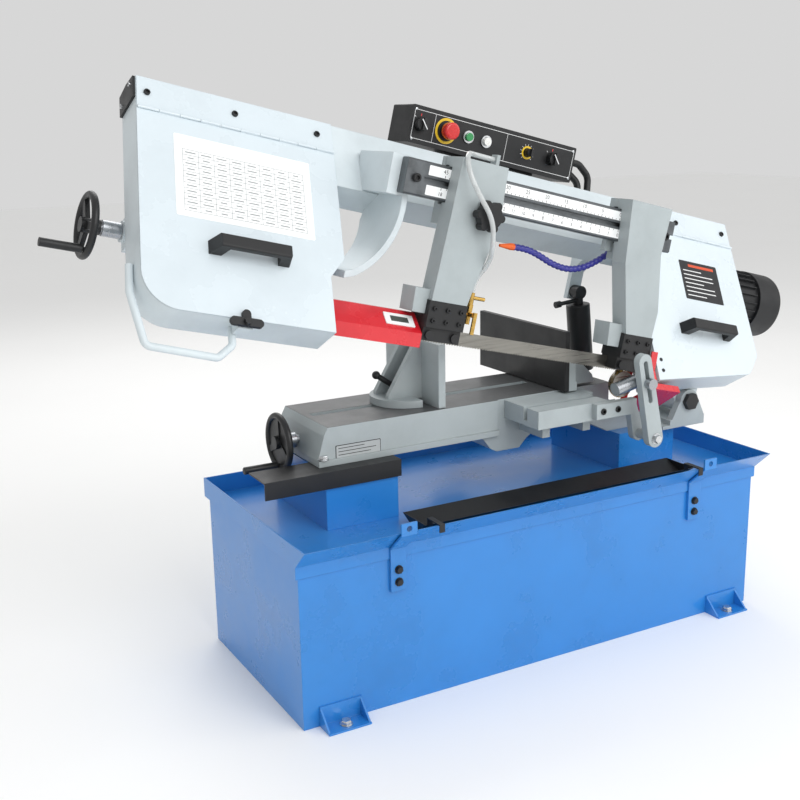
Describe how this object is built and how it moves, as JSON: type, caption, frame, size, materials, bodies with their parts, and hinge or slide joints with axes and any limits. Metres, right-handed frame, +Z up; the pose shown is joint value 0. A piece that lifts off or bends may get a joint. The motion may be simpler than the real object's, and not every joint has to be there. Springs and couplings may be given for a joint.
{
  "type": "band saw",
  "caption": "Horizontal metal-cutting band saw: a canted bow with wheel boxes, guide arms and control panel swings over a vise bed on a sheet-metal cabinet with a chip tray.",
  "frame": {"origin": "on the floor at the middle of the cabinet's footprint", "axes": "+X to the operator's right along the cabinet, +Y away from the operator, +Z up"},
  "size_m": [1.9349, 0.571, 1.2381],
  "materials": {
    "blue_paint": "satin",
    "pale_paint": "satin",
    "grey_paint": "satin",
    "black_paint": "satin",
    "bare_iron": "ground",
    "steel": "ground",
    "spring_steel": "satin",
    "zinc_steel": "bright",
    "black_plastic": "matte",
    "red_guard": "gloss",
    "red_plastic": "gloss",
    "green_plastic": "gloss",
    "white_plastic": "gloss",
    "blue_plastic": "satin",
    "clear_hose": "gloss",
    "brass": "bright",
    "grey_conduit": "matte",
    "black_aluminium": "satin",
    "black_iron": "ground",
    "black_steel": "satin"
  },
  "bodies": {
    "base": {"cabinet": "blue_paint", "floor_feet": "blue_paint", "chip_tray": "blue_paint", "bed_pedestals": "blue_paint", "splash_angle": "steel", "chip_trough": "blue_paint", "eye_brackets": "blue_paint", "coolant_pump": "black_plastic", "bed_casting": "grey_paint", "pivot_bracket": "grey_paint", "pivot_shaft": "black_steel", "stop_bracket": "grey_paint"},
    "saw_bow": {"bow_casting": "grey_paint", "hinge_strips": "pale_paint", "pull_handle": "steel", "gearbox": "grey_paint", "motor": "black_aluminium", "blade": "spring_steel", "guide_bar": "bare_iron", "right_guide_arm": "grey_paint", "right_guide_head": "black_paint", "right_blade_guard": "red_guard", "control_panel": "black_paint", "panel_conduits": "grey_conduit", "nozzle_hose": "blue_plastic"},
    "left_wheel_door": {"left_door": "pale_paint", "left_door_handle": "black_plastic"},
    "right_wheel_door": {"right_door": "pale_paint", "right_door_handle": "black_plastic"},
    "door_catch": {"door_latch": "black_plastic"},
    "tension_carriage": {"tension_slide": "bare_iron"},
    "left_band_wheel": {"idler_wheel": "bare_iron"},
    "tension_spindle": {"tension_screw": "steel", "tension_handwheel": "black_paint"},
    "tension_grip": {"tension_crank_grip": "black_plastic"},
    "right_band_wheel": {"drive_wheel": "bare_iron"},
    "sliding_guide": {"left_guide_arm": "grey_paint", "left_guide_head": "black_paint", "left_blade_guard": "red_guard", "coolant_valve": "brass", "coolant_hose": "clear_hose"},
    "guide_clamp": {"guide_lock_knob": "black_plastic"},
    "brush": {"blade_brush": "spring_steel"},
    "emergency_button": {"emergency_stop": "red_plastic"},
    "start_push": {"start_button": "green_plastic"},
    "reset_push": {"reset_button": "white_plastic"},
    "power_switch": {"power_selector": "black_plastic"},
    "pump_switch": {"pump_selector": "black_plastic"},
    "speed_dial": {"speed_knob": "black_plastic"},
    "vise_carriage": {"movable_jaw": "grey_paint"},
    "vise_spindle": {"vise_screw": "steel", "vise_handwheel": "black_paint"},
    "vise_grip": {"vise_crank_grip": "black_plastic"},
    "jaw_clamp": {"jaw_lock_lever": "black_plastic"},
    "mitre_jaw": {"swivel_jaw": "grey_paint", "jaw_plate": "black_iron"},
    "stop_link": {"stop_arm": "black_paint"},
    "stop_rod_clamp": {"stop_pin": "steel"},
    "cylinder_body": {"cylinder_barrel": "black_paint"},
    "cylinder_ram": {"cylinder_rod": "zinc_steel"}
  },
  "joints": [
    {"name": "bow_swing", "type": "hinge", "parent": "base", "child": "saw_bow", "pos_m": [0.481, 0, 0.492], "axis": [0, 1, 0], "range_deg": [-13.74, 31.26]},
    {"name": "left_door_hinge", "type": "hinge", "parent": "saw_bow", "child": "left_wheel_door", "pos_m": [-0.55872, 0.00558, 1.13631], "axis": [-0.9714, 0, 0.2375], "range_deg": [0, 100]},
    {"name": "right_door_hinge", "type": "hinge", "parent": "saw_bow", "child": "right_wheel_door", "pos_m": [0.56129, 0.00558, 0.86245], "axis": [-0.9714, 0, 0.2375], "range_deg": [0, 100]},
    {"name": "door_catch_turn", "type": "hinge", "parent": "saw_bow", "child": "door_catch", "pos_m": [-0.65193, -0.21558, 0.80982], "axis": [0.129, -0.8396, 0.5276], "range_deg": [0, 90]},
    {"name": "tension_travel", "type": "slide", "parent": "saw_bow", "child": "tension_carriage", "axis": [0.9714, 0, -0.2375], "range_m": [0, 0.02]},
    {"name": "left_wheel_spin", "type": "hinge", "parent": "tension_carriage", "child": "left_band_wheel", "pos_m": [-0.62221, -0.06037, 0.95666], "axis": [0.129, -0.8396, 0.5276], "continuous": true},
    {"name": "tension_screw_turn", "type": "hinge", "parent": "saw_bow", "child": "tension_spindle", "pos_m": [-0.78471, -0.0016, 0.95726], "axis": [-0.9714, 0, 0.2375], "range_deg": [0, 2880]},
    {"name": "tension_grip_spin", "type": "hinge", "parent": "tension_spindle", "child": "tension_grip", "pos_m": [-0.91115, -0.02849, 0.94539], "axis": [-0.9714, 0, 0.2375], "continuous": true},
    {"name": "drive_spin", "type": "hinge", "parent": "saw_bow", "child": "right_band_wheel", "pos_m": [0.52111, -0.06037, 0.67711], "axis": [0.129, -0.8396, 0.5276], "continuous": true},
    {"name": "guide_travel", "type": "slide", "parent": "saw_bow", "child": "sliding_guide", "axis": [0.9714, 0, -0.2375], "range_m": [-0.06, 0.3]},
    {"name": "guide_clamp_turn", "type": "hinge", "parent": "sliding_guide", "child": "guide_clamp", "pos_m": [-0.13361, -0.19, 0.96347], "axis": [0, -1, 0], "range_deg": [0, 720]},
    {"name": "brush_spin", "type": "hinge", "parent": "saw_bow", "child": "brush", "pos_m": [0.26015, -0.142, 0.56556], "axis": [0, -1, 0], "continuous": true},
    {"name": "emergency_stop_press", "type": "slide", "parent": "saw_bow", "child": "emergency_button", "axis": [0, 1, 0], "range_m": [0, 0.006]},
    {"name": "start_press", "type": "slide", "parent": "saw_bow", "child": "start_push", "axis": [0, 1, 0], "range_m": [0, 0.005], "stiffness_N_per_m": 400},
    {"name": "reset_press", "type": "slide", "parent": "saw_bow", "child": "reset_push", "axis": [0, 1, 0], "range_m": [0, 0.005], "stiffness_N_per_m": 400},
    {"name": "power_switch_turn", "type": "hinge", "parent": "saw_bow", "child": "power_switch", "pos_m": [-0.14009, 0.045, 1.13904], "axis": [0, -1, 0], "range_deg": [-90, 0]},
    {"name": "pump_switch_turn", "type": "hinge", "parent": "saw_bow", "child": "pump_switch", "pos_m": [0.20086, 0.045, 1.05567], "axis": [0, -1, 0], "range_deg": [-90, 0]},
    {"name": "speed_dial_turn", "type": "hinge", "parent": "saw_bow", "child": "speed_dial", "pos_m": [0.13481, 0.045, 1.07182], "axis": [0, -1, 0], "range_deg": [-135, 135]},
    {"name": "jaw_travel", "type": "slide", "parent": "base", "child": "vise_carriage", "axis": [1, 0, 0], "range_m": [-0.17, 0.285]},
    {"name": "vise_screw_turn", "type": "hinge", "parent": "base", "child": "vise_spindle", "pos_m": [-0.47, 0.043, 0.502], "axis": [1, 0, 0], "range_deg": [-12240, 20520]},
    {"name": "vise_grip_spin", "type": "hinge", "parent": "vise_spindle", "child": "vise_grip", "pos_m": [-0.54, 0.043, 0.4525], "axis": [-1, 0, 0], "continuous": true},
    {"name": "jaw_clamp_turn", "type": "hinge", "parent": "vise_carriage", "child": "jaw_clamp", "pos_m": [-0.212, 0.043, 0.58], "axis": [0, 0, 1], "range_deg": [-30, 30]},
    {"name": "mitre_turn", "type": "hinge", "parent": "base", "child": "mitre_jaw", "pos_m": [0.196, 0.062, 0.56], "axis": [0, 0, 1], "range_deg": [-45, 0]},
    {"name": "stop_swing", "type": "hinge", "parent": "base", "child": "stop_link", "pos_m": [0.262, -0.25, 0.466], "axis": [0, 1, 0], "range_deg": [-20, 50]},
    {"name": "stop_height", "type": "slide", "parent": "stop_link", "child": "stop_rod_clamp", "axis": [-0.2079, 0, 0.9781], "range_m": [-0.04, 0.044]},
    {"name": "cylinder_lean", "type": "hinge", "parent": "saw_bow", "child": "cylinder_body", "pos_m": [0.33714, 0.12, 0.73307], "axis": [0, 1, 0], "range_deg": [-3, 3]},
    {"name": "cylinder_stroke", "type": "slide", "parent": "cylinder_body", "child": "cylinder_ram", "axis": [0.0985, 0, -0.9951], "range_m": [-0.035, 0.075]}
  ],
  "couplings": [
    {"joint": "left_wheel_spin", "follows": "drive_spin", "ratio": 1},
    {"joint": "tension_screw_turn", "follows": "tension_travel", "rad_per_m": 2513.3},
    {"joint": "vise_screw_turn", "follows": "jaw_travel", "rad_per_m": 1256.6},
    {"joint": "cylinder_lean", "follows": "bow_swing", "ratio": -0.022529},
    {"joint": "cylinder_stroke", "follows": "bow_swing", "m_per_rad": 0.11697}
  ]
}
